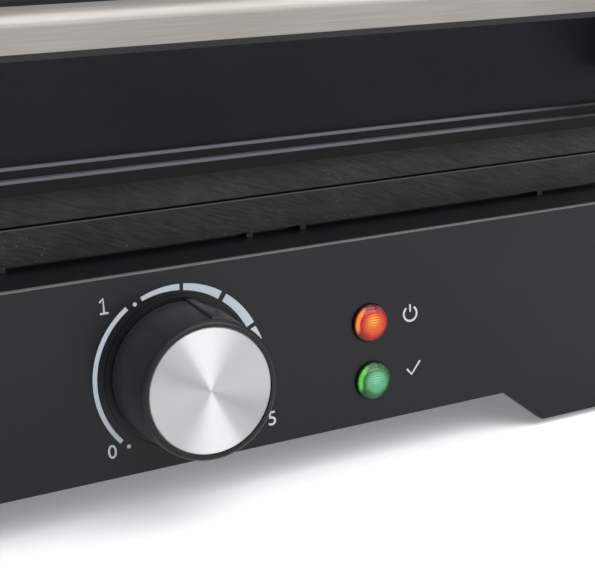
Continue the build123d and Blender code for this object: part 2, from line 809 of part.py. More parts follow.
def cord_inlet():
    """A flanged bush for the supply cord in the back wall."""
    tube = rod_y(inlet_body_radius, base_back - inlet_length, base_back, inlet_x, inlet_z)
    flange = rod_y(inlet_flange_radius, base_back, base_back + inlet_flange, inlet_x, inlet_z)
    flange = fillet(flange.edges().group_by(Axis.Y)[-1], inlet_edge)
    shoulder = rod_y(inlet_flange_radius, base_back - base_wall - inlet_shoulder,
                     base_back - base_wall, inlet_x, inlet_z)
    body = tube + flange + shoulder
    return body - rod_y(inlet_bore_radius, base_back - inlet_length - 1.0, base_back + 5.0, inlet_x, inlet_z)


def terminal_block():
    """A three-way screw terminal on the base cover near the inlet."""
    back = base_back - inlet_length - block_gap
    x = inlet_x - block_offset
    body = box(x - block_width / 2, x + block_width / 2, back - block_depth, back,
               cover_top, cover_top + block_height)
    for number in (-1, 0, 1):
        way = x + number * block_width / 3
        body -= rod_z(way_radius, cover_top + way_floor, cover_top + block_height + 1.0, way,
                      back - block_depth / 2)
        body -= rod_y(wire_radius, back - block_depth - 1.0, back + 1.0, way, cover_top + wire_rise)
    return body


def thermal_fuse():
    """A thermal fuse against the underside of the pan."""
    seat = deck_z - pan_depth
    centre = seat - fuse_radius
    y = plate_y + fuse_setback
    fuse = rod_x(fuse_radius, -fuse_length / 2, fuse_length / 2, y, centre)
    reach = fuse_length / 2 + fuse_lead
    return fuse + rod_x(fuse_lead_radius, -reach, reach, y, centre)


# ---- floating hinge ----
def hinge_post(side):
    """An upright post with a blind vertical slot for the hinge shaft's glide."""
    inner = barrel_half + post_gap
    top_z = hinge_z + float_travel
    outline = Pos(hinge_y, top_z) * Circle(post_top)
    outline += Pos(hinge_y, (deck_z + top_z) / 2) * Rectangle(2 * post_top, top_z - deck_z)
    foot = Polyline((hinge_y - post_depth / 2, deck_z), (hinge_y + post_depth / 2, deck_z),
                    (hinge_y + post_top, deck_z + post_foot), (hinge_y - post_top, deck_z + post_foot),
                    close=True)
    outline += make_face(foot)
    post = extrude(Plane.YZ * outline, post_width)
    post = fillet(post.faces().sort_by(Axis.X)[-1].edges(), post_edge)
    half = glide / 2 + sliding
    slot = box(-1.0, post_width - post_wall, hinge_y - half, hinge_y + half, hinge_z - half, top_z + half)
    post -= slot
    for dy in (-post_screw_spacing / 2, post_screw_spacing / 2):
        post -= rod_z(screw_radius, deck_z - 1.0, deck_z + screw_grip + 1.0, post_width / 2, hinge_y + dy)
    post = Pos(inner, 0, 0) * post
    return post if side > 0 else post.mirror(Plane.YZ)


def hinge_post_screws():
    seat = deck_z - deck_wall
    return [screw_up(x, y, seat, deck_wall + screw_grip) for x, y in post_screw_places()]


def shaft_end():
    return barrel_half + post_gap + post_width - post_wall - touch


def hinge_shaft():
    return rod_x(hinge_shaft_radius, -shaft_end(), shaft_end(), hinge_y, hinge_z)


def hinge_glide(side):
    """A sliding block on the shaft's end, inside its post."""
    inner = barrel_half + post_gap + touch
    block_body = box(inner, shaft_end(), hinge_y - glide / 2, hinge_y + glide / 2,
                     hinge_z - glide / 2, hinge_z + glide / 2)
    block_body = fillet(block_body.edges().filter_by(Axis.X), glide_edge)
    body = block_body - rod_x(hinge_shaft_radius, 0.0, shaft_end() + 5.0, hinge_y, hinge_z)
    return body if side > 0 else body.mirror(Plane.YZ)


def arm_screw_places():
    x = arm_outer - arm_width / 2
    middle = (arm_flange_low + arm_flange_high) / 2
    return [(side * x, middle + dz) for side in (-1, 1)
            for dz in (-arm_screw_spacing / 2, arm_screw_spacing / 2)]


def lid_hinge_beam():
    """The barrel that turns on the shaft and the two arms that carry the lid."""
    seat = lid_back
    web = Polyline((seat, arm_flange_low), (seat, arm_flange_high), (seat + 2 * arm_flange, arm_flange_high),
                   (hinge_y + web_over, hinge_z + barrel_radius),
                   (hinge_y - web_under, hinge_z - barrel_radius + web_lift),
                   (seat + web_foot, arm_flange_low), close=True)
    face = make_face(web)
    bends = [v for v in face.vertices() if seat + 1.0 < v.X < seat + web_foot + 1.0]
    face = fillet(bends, web_round)
    arm = extrude(Plane.YZ * face, arm_width)
    beam = rod_x(barrel_radius, -barrel_half, barrel_half, hinge_y, hinge_z)
    beam += Pos(arm_outer - arm_width, 0, 0) * arm
    beam += Pos(-arm_outer, 0, 0) * arm
    for x, z in arm_screw_places():
        beam -= rod_y(screw_radius, seat - 1.0, seat + screw_grip + 1.0, x, z)
    return beam - rod_x(hinge_shaft_radius + running, -barrel_half - 1.0, barrel_half + 1.0, hinge_y, hinge_z)


def screw_along_y(x, z, seat, way, grip):
    """A screw along Y; way is 1 when its shank points to the back."""
    head = rod_y(screw_head_radius, *sorted((seat, seat - way * screw_head_height)), x, z)
    return head + rod_y(screw_radius, *sorted((seat, seat + way * grip)), x, z)


def hinge_beam_screws():
    seat = lid_back - lid_wall
    return [screw_along_y(x, z, seat, 1, lid_wall + screw_grip) for x, z in arm_screw_places()]


# ---- lid ----
def lid_form(inset):
    """The lid's outer form, or the same form drawn in by a wall."""
    width = lid_width - 2 * inset
    depth = lid_depth - 2 * inset
    top = lid_edge_z + crown_rise + 1.0
    body = block(width, depth, lid_z, top, lid_corner - inset, plate_y)
    edge = lid_edge_z - inset
    reach = lid_depth / 2 + 5.0
    drop = crown_rise * (reach / (lid_depth / 2)) ** 2
    peak = edge + crown_rise
    arc = ThreePointArc((plate_y - reach, peak - drop), (plate_y, peak), (plate_y + reach, peak - drop))
    sides = Polyline((plate_y + reach, peak - drop), (plate_y + reach, lid_z - 5.0),
                     (plate_y - reach, lid_z - 5.0), (plate_y - reach, peak - drop))
    crown = extrude(Plane.YZ * make_face([arc, sides]), lid_width, both=True)
    body &= crown
    rim = [e for e in body.edges() if e.center().Z > lid_edge_z - inset - 4.0]
    return fillet(rim, lid_round - inset)


def lid_boss_places():
    return [(x, plate_y + y) for x, y in mirrored_pair([lid_boss_x], [lid_boss_y])]


def pan_top():
    return 2 * parting_z + parting_gap - (deck_z - pan_depth)


def handle_screw_places():
    x = handle_half + bracket_width / 2
    middle = bracket_low() + bracket_foot / 2
    return [(side * x, middle + dz) for side in (-1, 1)
            for dz in (-handle_screw_spacing / 2, handle_screw_spacing / 2)]


def lid_housing():
    """The moulded lid cover with its screw bosses and fixing holes."""
    shell = lid_form(0.0)
    hollow = lid_form(lid_wall)
    bosses = [rod_z(boss_radius, pan_top() + touch, lid_edge_z + crown_rise, x, y) & shell
              for x, y in lid_boss_places()]
    room = hollow + block(lid_width - 2 * lid_wall, lid_depth - 2 * lid_wall, lid_z - 5.0, lid_z + 1.0,
                          lid_corner - lid_wall, plate_y)
    shell -= room
    shell += bosses
    for x, y in lid_boss_places():
        shell -= rod_z(screw_radius, pan_top() - 1.0, pan_top() + screw_grip + 1.0, x, y)
    for x, z in handle_screw_places():
        shell -= rod_y(screw_radius + running, lid_front - 5.0, lid_front + lid_wall + 1.0, x, z)
    for x, z in arm_screw_places():
        shell -= rod_y(screw_radius + running, lid_back - lid_wall - 1.0, lid_back + 5.0, x, z)
    return shell


def lid_frame():
    """The stepped lower rim of the lid, its ledge over the plate and its spigot in the cover."""
    second_z = lip_z + lip_face
    body = block(rim_width_x, rim_depth_y, lip_z, second_z, rim_corner, plate_y)
    body = fillet(body.edges().group_by(Axis.Z)[-1], rim_edge)
    upper = block(rim_width_x - 2 * lip_step, rim_depth_y - 2 * lip_step, second_z - 1.0, lid_z,
                  rim_corner - lip_step, plate_y)
    body += fillet(upper.edges().group_by(Axis.Z)[-1], rim_edge)
    inner_width = lid_width - 2 * (lid_wall + touch)
    inner_depth = lid_depth - 2 * (lid_wall + touch)
    inner_corner = lid_corner - lid_wall - touch
    body += block(inner_width, inner_depth, lid_z - 1.0, lid_z + spigot_height, inner_corner, plate_y)
    ledge_z = 2 * parting_z + parting_gap - deck_z
    body -= block(plate_width + 2 * loose, plate_depth + 2 * loose, lip_z - 1.0, ledge_z,
                  plate_corner + loose, plate_y)
    body -= block(bay_width, bay_span, lip_z - 1.0, lid_z + 2 * spigot_height, pan_corner + loose, plate_y)
    body -= block(inner_width - 2 * spigot_wall, inner_depth - 2 * spigot_wall, ledge_z + ledge,
                  lid_z + 2 * spigot_height, inner_corner - spigot_wall, plate_y)
    for x, y in pan_screw_places():
        body -= rod_z(screw_radius, ledge_z - 1.0, ledge_z + ledge + 5.0, x, y)
    return body


def lid_screws():
    seat = pan_top() - sheet
    return [screw_up(x, y, seat, sheet + screw_grip) for x, y in lid_boss_places()]


def upper_pan():
    body = turn_over(pan())
    for x, y in lid_boss_places():
        body -= rod_z(screw_radius + running, pan_top() - 5.0, pan_top() + 5.0, x, y)
    return body


def upper_cutout():
    """A disc cut-out switch on the back of the upper pan."""
    disc = rod_z(cutout_radius, pan_top(), pan_top() + cutout_height, 0.0, plate_y)
    for side in (-1, 1):
        tab_x = side * cutout_spacing / 2
        disc += box(tab_x - cutout_tab_half, tab_x + cutout_tab_half, plate_y - cutout_tab_skin,
                    plate_y + cutout_tab_skin,
                    pan_top() + cutout_height - 1.0, pan_top() + cutout_height + cutout_tab)
    return disc


# ---- handle ----
def bracket_low():
    """Lower edge of a bracket where it meets the lid."""
    return handle_z + steel_height - bracket_drop - bracket_foot


def steel_section(inset):
    """The upper part of the bar's section, drawn in by a wall."""
    width = handle_depth - 2 * inset
    height = steel_height - inset
    face = Pos(handle_front + handle_depth / 2, handle_z + height / 2) * Rectangle(width, height)
    upper = [v for v in face.vertices() if v.Y > handle_z + height / 2]
    return fillet(upper, handle_round - inset)


def handle_bar():
    """The bent steel skin over the front, top and back of the bar."""
    section = steel_section(0.0) - steel_section(sheet)
    return extrude(Plane.YZ * section, handle_half, both=True)


def spigot(side):
    """The end of the core that plugs into a bracket."""
    middle = handle_front + handle_depth / 2
    low = handle_z + spigot_rise
    start = side * (handle_half - 1.0)
    end = side * (handle_half + spigot_length)
    half = spigot_width / 2
    return box(*sorted((start, end)), middle - half, middle + half, low, low + spigot_depth)


def handle_core():
    """The moulded core of the bar, which shows as a strip below the steel."""
    section = steel_section(sheet)
    strip_z = handle_z - handle_strip / 2
    section += Pos(handle_front + handle_depth / 2, strip_z) * Rectangle(handle_depth, handle_strip)
    core = extrude(Plane.YZ * section, handle_half, both=True)
    return core + spigot(-1) + spigot(1)


def handle_bracket(side):
    """A curved arm from the lid's front wall to one end of the bar."""
    low = handle_z - handle_strip
    high = handle_z + steel_height
    foot_low = bracket_low()
    foot_high = foot_low + bracket_foot
    outline = make_face(Polyline(
        (lid_front, foot_low), (lid_front, foot_high), (lid_front - bracket_flat, foot_high),
        (handle_back + bracket_over, high), (handle_front, high), (handle_front, low),
        (handle_back + bracket_under, low), (lid_front - bracket_flat, foot_low), close=True))
    bends = [v for v in outline.vertices() if handle_back < v.X < lid_front - 1.0]
    outline = fillet(bends, bracket_round)
    nose = [v for v in outline.vertices() if v.X < handle_front + 0.5 and v.Y > handle_z + steel_height / 2]
    outline = fillet(nose, handle_round)
    body = extrude(Plane.YZ * outline, bracket_width)
    body = fillet(body.faces().sort_by(Axis.X)[-1].edges().filter_by(
        lambda e: e.center().Y < lid_front - 1.0), bracket_edge)
    body = Pos(handle_half, 0, 0) * body
    middle = handle_front + handle_depth / 2
    spigot_low = handle_z + spigot_rise
    half = spigot_width / 2 + sliding
    body -= box(handle_half - 1.0, handle_half + spigot_length + touch, middle - half, middle + half,
                spigot_low - sliding, spigot_low + spigot_depth + sliding)
    for x, z in handle_screw_places():
        if x > 0:
            body -= rod_y(screw_radius, lid_front - screw_grip - 1.0, lid_front + 1.0, x, z)
    return body if side > 0 else body.mirror(Plane.YZ)


def handle_screws():
    seat = lid_front + lid_wall
    return [screw_along_y(x, z, seat, -1, lid_wall + screw_grip) for x, z in handle_screw_places()]


parts = {}


def keep(name, piece):
    parts[name] = piece


keep("base_housing", base_housing())
keep("base_cover", base_cover())
keep("rear_panel", rear_panel())
keep("rubber_feet", rubber_feet())
keep("base_cover_screws", base_cover_screws())
keep("lower_pan", lower_pan())
keep("lower_heating_element", heating_element())
keep("lower_element_clips", group(element_clips()))
keep("lower_grill_plate", lower_grill_plate())
keep("upper_grill_plate", upper_grill_plate())
keep("lower_plate_screws", group(plate_screws()))
keep("lower_pan_screws", group(lower_pan_screws()))
keep("thermostat", thermostat())
keep("thermostat_nut", thermostat_nut())
keep("thermostat_bulb", thermostat_bulb())
keep("control_shaft", control_shaft())
keep("control_knob", control_knob())
keep("knob_cap", knob_cap())
for colour, height in lamp_heights.items():
    keep(f"{colour}_lens", lamp_lens(height))
    keep(f"{colour}_lamp", lamp(height))
keep("drip_tray", drip_tray())
keep("cord_inlet", cord_inlet())
keep("terminal_block", terminal_block())
keep("thermal_fuse", thermal_fuse())
keep("left_hinge_post", hinge_post(-1))
keep("right_hinge_post", hinge_post(1))
keep("hinge_post_screws", group(hinge_post_screws()))
keep("hinge_shaft", hinge_shaft())
keep("left_hinge_glide", hinge_glide(-1))
keep("right_hinge_glide", hinge_glide(1))
keep("lid_hinge_beam", lid_hinge_beam())
keep("hinge_beam_screws", group(hinge_beam_screws()))
keep("lid_housing", lid_housing())
keep("lid_frame", lid_frame())
keep("lid_screws", group(lid_screws()))
keep("upper_pan", upper_pan())
keep("upper_pan_screws", group([turn_over(screw) for screw in lower_pan_screws()]))
keep("upper_heating_element", turn_over(heating_element()))
keep("upper_element_clips", group([turn_over(clip) for clip in element_clips()]))
keep("upper_plate_screws", group([turn_over(screw) for screw in plate_screws()]))
keep("upper_cutout", upper_cutout())
keep("handle_bar", handle_bar())
keep("handle_core", handle_core())
keep("left_handle_bracket", handle_bracket(-1))
keep("right_handle_bracket", handle_bracket(1))
keep("handle_screws", group(handle_screws()))

for name, piece in parts.items():
    export_step(piece, f"parts/{name}.step")
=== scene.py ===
import bpy
import math
from mathutils import Matrix, Vector


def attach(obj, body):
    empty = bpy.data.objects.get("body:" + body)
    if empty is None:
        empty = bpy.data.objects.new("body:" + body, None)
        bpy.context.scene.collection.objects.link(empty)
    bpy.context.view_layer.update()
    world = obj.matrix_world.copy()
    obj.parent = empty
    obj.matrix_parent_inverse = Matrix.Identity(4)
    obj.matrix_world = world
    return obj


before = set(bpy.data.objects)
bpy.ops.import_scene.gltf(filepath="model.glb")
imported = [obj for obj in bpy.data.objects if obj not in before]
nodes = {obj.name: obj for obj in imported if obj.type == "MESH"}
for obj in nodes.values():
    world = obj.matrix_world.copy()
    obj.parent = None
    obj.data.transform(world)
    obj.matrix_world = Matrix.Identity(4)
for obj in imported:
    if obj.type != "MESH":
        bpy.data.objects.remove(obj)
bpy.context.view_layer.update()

# Sizes and places are in millimetres, and mm turns them to metres.
mm = 0.001
panel_y = -113.0              # face of the control panel
deck_z = 72.8                 # flat top of the casing, behind the panel's upper edge
knob = (-24.5, 41.5)          # knob axis on the panel, X and Z
knob_front = panel_y - 22.5   # front of the ring round the knob's cap
lamp_x = 37.5
lamp_heights = {"red": 46.1, "green": 27.7}
lens_radius = 6.0
plate_front = -86.5           # front faces of the grill plates
lower_plate_top = 84.9
rim_steps = (99.9, 103.3)     # upper edges of the lid rim's two steps
print_rise = 0.05             # thickness of the printed ink


# ---- materials ----
def colour(code):
    """An sRGB hex colour turned to the linear values that a shader takes."""
    parts = [int(code[i:i + 2], 16) / 255 for i in (1, 3, 5)]
    return tuple(c / 12.92 if c <= 0.04045 else ((c + 0.055) / 1.055) ** 2.4 for c in parts) + (1.0,)


def add(tree, kind, values=None, links=None, **settings):
    """Adds a node, gives its settings and socket values, and joins its inputs to other nodes."""
    made = tree.nodes.new(kind)
    for name, value in settings.items():
        setattr(made, name, value)
    for socket, value in (values or {}).items():
        made.inputs[socket].default_value = value
    for socket, source in (links or {}).items():
        tree.links.new(source, made.inputs[socket])
    return made


def surface(name, **sockets):
    """A new material with its shader's own sockets set."""
    material = bpy.data.materials.new(name)
    material.use_nodes = True
    tree = material.node_tree
    shader = tree.nodes["Principled BSDF"]
    for socket, value in sockets.items():
        shader.inputs[socket.replace("_", " ")].default_value = value
    return material, tree, shader


def ramp_stops(ramp, stops):
    """Sets a ramp's colours: pairs of place and hex code."""
    while len(ramp.color_ramp.elements) < len(stops):
        ramp.color_ramp.elements.new(1.0)
    for element, (place, code) in zip(ramp.color_ramp.elements, stops):
        element.position = place
        element.color = colour(code)


def wave_scale(spacing):
    """A wave texture's scale for lines a number of millimetres apart."""
    return 2 * math.pi / (20 * spacing * mm)


cloud_scale = 22.0            # broad clouds in every grained finish, per metre


def grained(name, dark, light, roughness, grain, depth, stretch=(1, 1, 1), **sockets):
    """A finish whose colour, gloss and height follow one fine grain; grain and depth in mm."""
    material, tree, shader = surface(name, **sockets)
    place = add(tree, "ShaderNodeTexCoord")
    spread = add(tree, "ShaderNodeMapping", {"Scale": stretch}, {"Vector": place.outputs["Object"]})
    noise = add(tree, "ShaderNodeTexNoise", {"Scale": 1 / (grain * mm), "Detail": 4.0},
                {"Vector": spread.outputs["Vector"]})
    broad = add(tree, "ShaderNodeTexNoise", {"Scale": cloud_scale, "Detail": 2.0},
                {"Vector": place.outputs["Object"]})
    both = add(tree, "ShaderNodeMath", None, {0: noise.outputs["Fac"], 1: broad.outputs["Fac"]},
               operation="MULTIPLY")
    ramp = add(tree, "ShaderNodeValToRGB", None, {"Fac": both.outputs["Value"]})
    ramp_stops(ramp, [(0.12, dark), (0.42, light)])
    gloss = add(tree, "ShaderNodeMapRange", {"To Min": roughness[0], "To Max": roughness[1]},
                {"Value": noise.outputs["Fac"]})
    bump = add(tree, "ShaderNodeBump", {"Strength": 0.5, "Distance": depth * mm},
               {"Height": noise.outputs["Fac"]})
    tree.links.new(ramp.outputs["Color"], shader.inputs["Base Color"])
    tree.links.new(gloss.outputs["Result"], shader.inputs["Roughness"])
    tree.links.new(bump.outputs["Normal"], shader.inputs["Normal"])
    return material


def paint_edge_highlights(material, heights, half, pale, front=None, fade=None):
    """Paints highlights into a finish: pale thin bands at given heights, standing for the light that small
    rounded edges catch.

    The bands reach half a width to each side, and all sizes are in mm. With front, only what lies ahead of
    it along Y is paled. With fade, the bands weaken to the right between its two places along X.
    """
    tree = material.node_tree
    shader = tree.nodes["Principled BSDF"]
    under = shader.inputs["Base Color"].links[0].from_socket
    place = add(tree, "ShaderNodeTexCoord")
    parts = add(tree, "ShaderNodeSeparateXYZ", None, {"Vector": place.outputs["Object"]})
    near = None
    for height in heights:
        above = add(tree, "ShaderNodeMath", {1: height * mm}, {0: parts.outputs["Z"]}, operation="SUBTRACT")
        apart = add(tree, "ShaderNodeMath", None, {0: above.outputs["Value"]}, operation="ABSOLUTE")
        if near is not None:
            apart = add(tree, "ShaderNodeMath", None, {0: near.outputs["Value"], 1: apart.outputs["Value"]},
                        operation="MINIMUM")
        near = apart
    band = add(tree, "ShaderNodeMapRange", {"From Min": half * mm, "From Max": 0.75 * half * mm},
               {"Value": near.outputs["Value"]}).outputs["Result"]
    if front is not None:
        ahead = add(tree, "ShaderNodeMapRange", {"From Min": front * mm, "From Max": (front - 0.3) * mm},
                    {"Value": parts.outputs["Y"]})
        band = add(tree, "ShaderNodeMath", None, {0: band, 1: ahead.outputs["Result"]},
                   operation="MULTIPLY").outputs["Value"]
    if fade is not None:
        kept = add(tree, "ShaderNodeMapRange",
                   {"From Min": fade[0] * mm, "From Max": fade[1] * mm, "To Min": 1.0, "To Max": 0.25},
                   {"Value": parts.outputs["X"]})
        band = add(tree, "ShaderNodeMath", None, {0: band, 1: kept.outputs["Result"]},
                   operation="MULTIPLY").outputs["Value"]
    mix = add(tree, "ShaderNodeMixRGB", {"Color2": colour(pale)}, {"Fac": band, "Color1": under})
    tree.links.new(mix.outputs["Color"], shader.inputs["Base Color"])
    return material


def paint_shade_ahead(material, start, end, dark):
    """Paints shade into a finish towards the front: not yet at start, and fully at end, both along Y in mm.
    """
    tree = material.node_tree
    shader = tree.nodes["Principled BSDF"]
    under = shader.inputs["Base Color"].links[0].from_socket
    place = add(tree, "ShaderNodeTexCoord")
    parts = add(tree, "ShaderNodeSeparateXYZ", None, {"Vector": place.outputs["Object"]})
    ahead = add(tree, "ShaderNodeMapRange", {"From Min": start * mm, "From Max": end * mm},
                {"Value": parts.outputs["Y"]})
    mix = add(tree, "ShaderNodeMixRGB", {"Color2": colour(dark)},
              {"Fac": ahead.outputs["Result"], "Color1": under})
    tree.links.new(mix.outputs["Color"], shader.inputs["Base Color"])


# Moulded ABS from a finely eroded mould: a soft, even satin on near black, with a painted highlight along
# the panel's upper edge.
moulded_abs = grained("satin_moulded_abs", "#0C0D10", "#111215", (0.28, 0.34), 0.9, 0.005,
                      Specular_IOR_Level=0.22)
paint_edge_highlights(moulded_abs, [deck_z - 0.2], 0.5, "#505050", front=panel_y + 1.0)
# The lid's ABS: a little lighter than the casing's, and duller.
polished_abs = grained("polished_moulded_abs", "#131316", "#17171B", (0.3, 0.36), 1.4, 0.004,
                       Specular_IOR_Level=0.075)
# The lid's stepped rim is smoother than its face and made blacker as painted shade under the lid, and the
# edges of its steps carry painted highlights that fade to the right.
rim_abs = grained("smooth_moulded_rim_abs", "#050506", "#070708", (0.14, 0.18), 1.4, 0.003,
                  Specular_IOR_Level=0.1)
paint_edge_highlights(rim_abs, [step - 0.4 for step in rim_steps], 0.6, "#545459", fade=(95.0, 130.0))
# Glass-filled nylon: a matt, slightly cloudy black.
filled_nylon = grained("glass_filled_nylon", "#0C0C0D", "#141415", (0.5, 0.62), 0.7, 0.03,
                       Specular_IOR_Level=0.25)
# The knob comes from a smooth mould with a soft sheen; its sides are lightened to dark grey as painted
# light, and painted shade makes the ring round the cap blacker.
knob_abs = grained("smooth_knob_abs", "#2B2B2E", "#2F2F32", (0.36, 0.42), 6.0, 0.003,
                   Specular_IOR_Level=0.25)
paint_shade_ahead(knob_abs, knob_front + 1.5, knob_front + 0.4, "#0F0F11")
# Silicone rubber: dead matt.
silicone = grained("silicone_rubber", "#121212", "#1A1A1A", (0.72, 0.85), 0.6, 0.04)
# Porcelain enamel on pressed steel: black, glossy, faintly wavy from the sheet.
enamel = grained("black_enamelled_steel", "#0C0C0D", "#131315", (0.25, 0.34), 2.4, 0.03)
# Drawn nickel-alloy sheath: dull warm grey that has been hot.
sheath = grained("drawn_alloy_sheath", "#6A655C", "#857F74", (0.38, 0.5), 0.8, 0.02, Metallic=1.0)
# Zinc plate: bright blue-grey with a slight cloud.
zinc = grained("zinc_plated_steel", "#A9ADB2", "#C6C9CC", (0.28, 0.4), 0.9, 0.01, Metallic=1.0)
# Ground steel: bright and smooth, with a very fine grain.
ground_steel = grained("ground_steel", "#B4B3B0", "#CFCECB", (0.16, 0.22), 0.5, 0.004, Metallic=1.0)
# Stainless steel brushed along the bar: long hairlines and a wide soft highlight.
brushed_steel = grained("brushed_stainless_steel", "#787570", "#878480", (0.42, 0.5), 0.5, 0.006,
                        (0.02, 1, 1), Metallic=1.0)
# Heat-proof urea moulding: pale and slightly chalky.
urea = grained("pale_urea_moulding", "#C9C2B2", "#D8D2C4", (0.5, 0.6), 0.8, 0.02)


scratch_width = 0.7
scratch_stretch = 0.08        # a scratch is a dozen times as long as it is wide
scratch_slant = -21.0         # degrees from level
scratch_shove = 4.0           # how far the scratches are bent at most
patch_length = 20.0
speck_width = 0.8


def coated_casting(name, low, high, offset):
    """Cast aluminium under a non-stick coating: dark, with the fine slanting scratches of its linishing."""
    material, tree, shader = surface(name, Specular_IOR_Level=0.22)
    place = add(tree, "ShaderNodeTexCoord")
    # A slow noise bends the scratches, so that they fan and cross a little.
    bend = add(tree, "ShaderNodeTexNoise", {"Scale": 45.0, "Detail": 2.0},
               {"Vector": place.outputs["Object"]})
    shove = add(tree, "ShaderNodeVectorMath", {1: [scratch_shove * mm] * 3}, {0: bend.outputs["Color"]},
                operation="MULTIPLY")
    moved = add(tree, "ShaderNodeVectorMath", None, {0: place.outputs["Object"], 1: shove.outputs["Vector"]},
                operation="ADD")
    turned = add(tree, "ShaderNodeMapping",
                 {"Rotation": (0, math.radians(scratch_slant), 0), "Location": offset},
                 {"Vector": moved.outputs["Vector"]})
    drawn = add(tree, "ShaderNodeMapping", {"Scale": (scratch_stretch, 1, 1)},
                {"Vector": turned.outputs["Vector"]})
    scratch = add(tree, "ShaderNodeTexNoise",
                  {"Scale": 1 / (scratch_width * mm), "Detail": 3.0, "Roughness": 0.6},
                  {"Vector": drawn.outputs["Vector"]})
    # Worn patches, where the scratches show more.
    patch = add(tree, "ShaderNodeTexNoise", {"Scale": 1 / (patch_length * mm), "Detail": 2.0},
                {"Vector": turned.outputs["Vector"]})
    shown = add(tree, "ShaderNodeMapRange",
                {"From Min": 0.35, "From Max": 0.65, "To Min": 0.8, "To Max": 1.0},
                {"Value": patch.outputs["Fac"]})
    both = add(tree, "ShaderNodeMath", None, {0: scratch.outputs["Fac"], 1: shown.outputs["Result"]},
               operation="MULTIPLY")
    ramp = add(tree, "ShaderNodeValToRGB", None, {"Fac": both.outputs["Value"]})
    ramp_stops(ramp, [(0.28, low), (0.6, high)])
    # Pale specks, where the coating is worn through, only in the worn patches.
    spot = add(tree, "ShaderNodeTexNoise", {"Scale": 1 / (speck_width * mm), "Detail": 1.0},
               {"Vector": place.outputs["Object"]})
    worn = add(tree, "ShaderNodeMapRange", {"From Min": 0.68, "From Max": 0.76},
               {"Value": spot.outputs["Fac"]})
    bare = add(tree, "ShaderNodeMapRange", {"From Min": 0.5, "From Max": 0.62},
               {"Value": patch.outputs["Fac"]})
    speck_mask = add(tree, "ShaderNodeMath", None, {0: worn.outputs["Result"], 1: bare.outputs["Result"]},
                     operation="MULTIPLY")
    specked = add(tree, "ShaderNodeMixRGB", {"Color2": colour("#5A574C")},
                  {"Fac": speck_mask.outputs["Value"], "Color1": ramp.outputs["Color"]})
    gloss = add(tree, "ShaderNodeMapRange", {"To Min": 0.42, "To Max": 0.6},
                {"Value": scratch.outputs["Fac"]})
    bump = add(tree, "ShaderNodeBump", {"Strength": 0.5, "Distance": 0.06 * mm},
               {"Height": scratch.outputs["Fac"]})
    tree.links.new(specked.outputs["Color"], shader.inputs["Base Color"])
    tree.links.new(gloss.outputs["Result"], shader.inputs["Roughness"])
    tree.links.new(bump.outputs["Normal"], shader.inputs["Normal"])
    return material


lower_casting = coated_casting("coated_casting_lower", "#131313", "#2B2B2B", (0, 0, 0))
# A painted highlight along the upper edge of the lower plate's front.
paint_edge_highlights(lower_casting, [lower_plate_top - 0.15], 0.3, "#4C4C4A", front=plate_front + 0.5)
upper_casting = coated_casting("coated_casting_upper", "#171715", "#32312C", (0.13, 0, 0.07))


ring_spacing = 0.4            # turning rings on the cap, coarser than real ones so that they show


def spun_aluminium():
    """Aluminium turned on a lathe: its rings pull the light out into bright and dull sectors."""
    material, tree, shader = surface("spun_aluminium", Base_Color=colour("#BEBFC0"), Metallic=1.0,
                                     Roughness=0.46, Anisotropic=1.0, Anisotropic_Rotation=0.25)
    place = add(tree, "ShaderNodeTexCoord")
    centre = add(tree, "ShaderNodeMapping", {"Location": (-knob[0] * mm, 0, -knob[1] * mm)},
                 {"Vector": place.outputs["Object"]})
    rings = add(tree, "ShaderNodeTexWave",
                {"Scale": wave_scale(ring_spacing), "Distortion": 0.3, "Detail": 2.0},
                {"Vector": centre.outputs["Vector"]}, wave_type="RINGS", rings_direction="Y")
    bump = add(tree, "ShaderNodeBump", {"Strength": 0.06, "Distance": 0.01 * mm},
               {"Height": rings.outputs["Fac"]})
    tangent = add(tree, "ShaderNodeTangent", direction_type="RADIAL", axis="Y")
    tree.links.new(bump.outputs["Normal"], shader.inputs["Normal"])
    tree.links.new(tangent.outputs["Tangent"], shader.inputs["Tangent"])
    return material


prism_spacing = 0.8           # level prisms on the inside of a lens
# From the lens's middle towards the painted highlight crescent in its rim, along X and Z.
painted_crescent_lean = (-0.94, 0.34)
glare_rise = 1.1              # lamp's glow above the lens's middle
glare_reach = 2.6             # where the glow has faded out
glare_core = 0.4              # and where it is still full


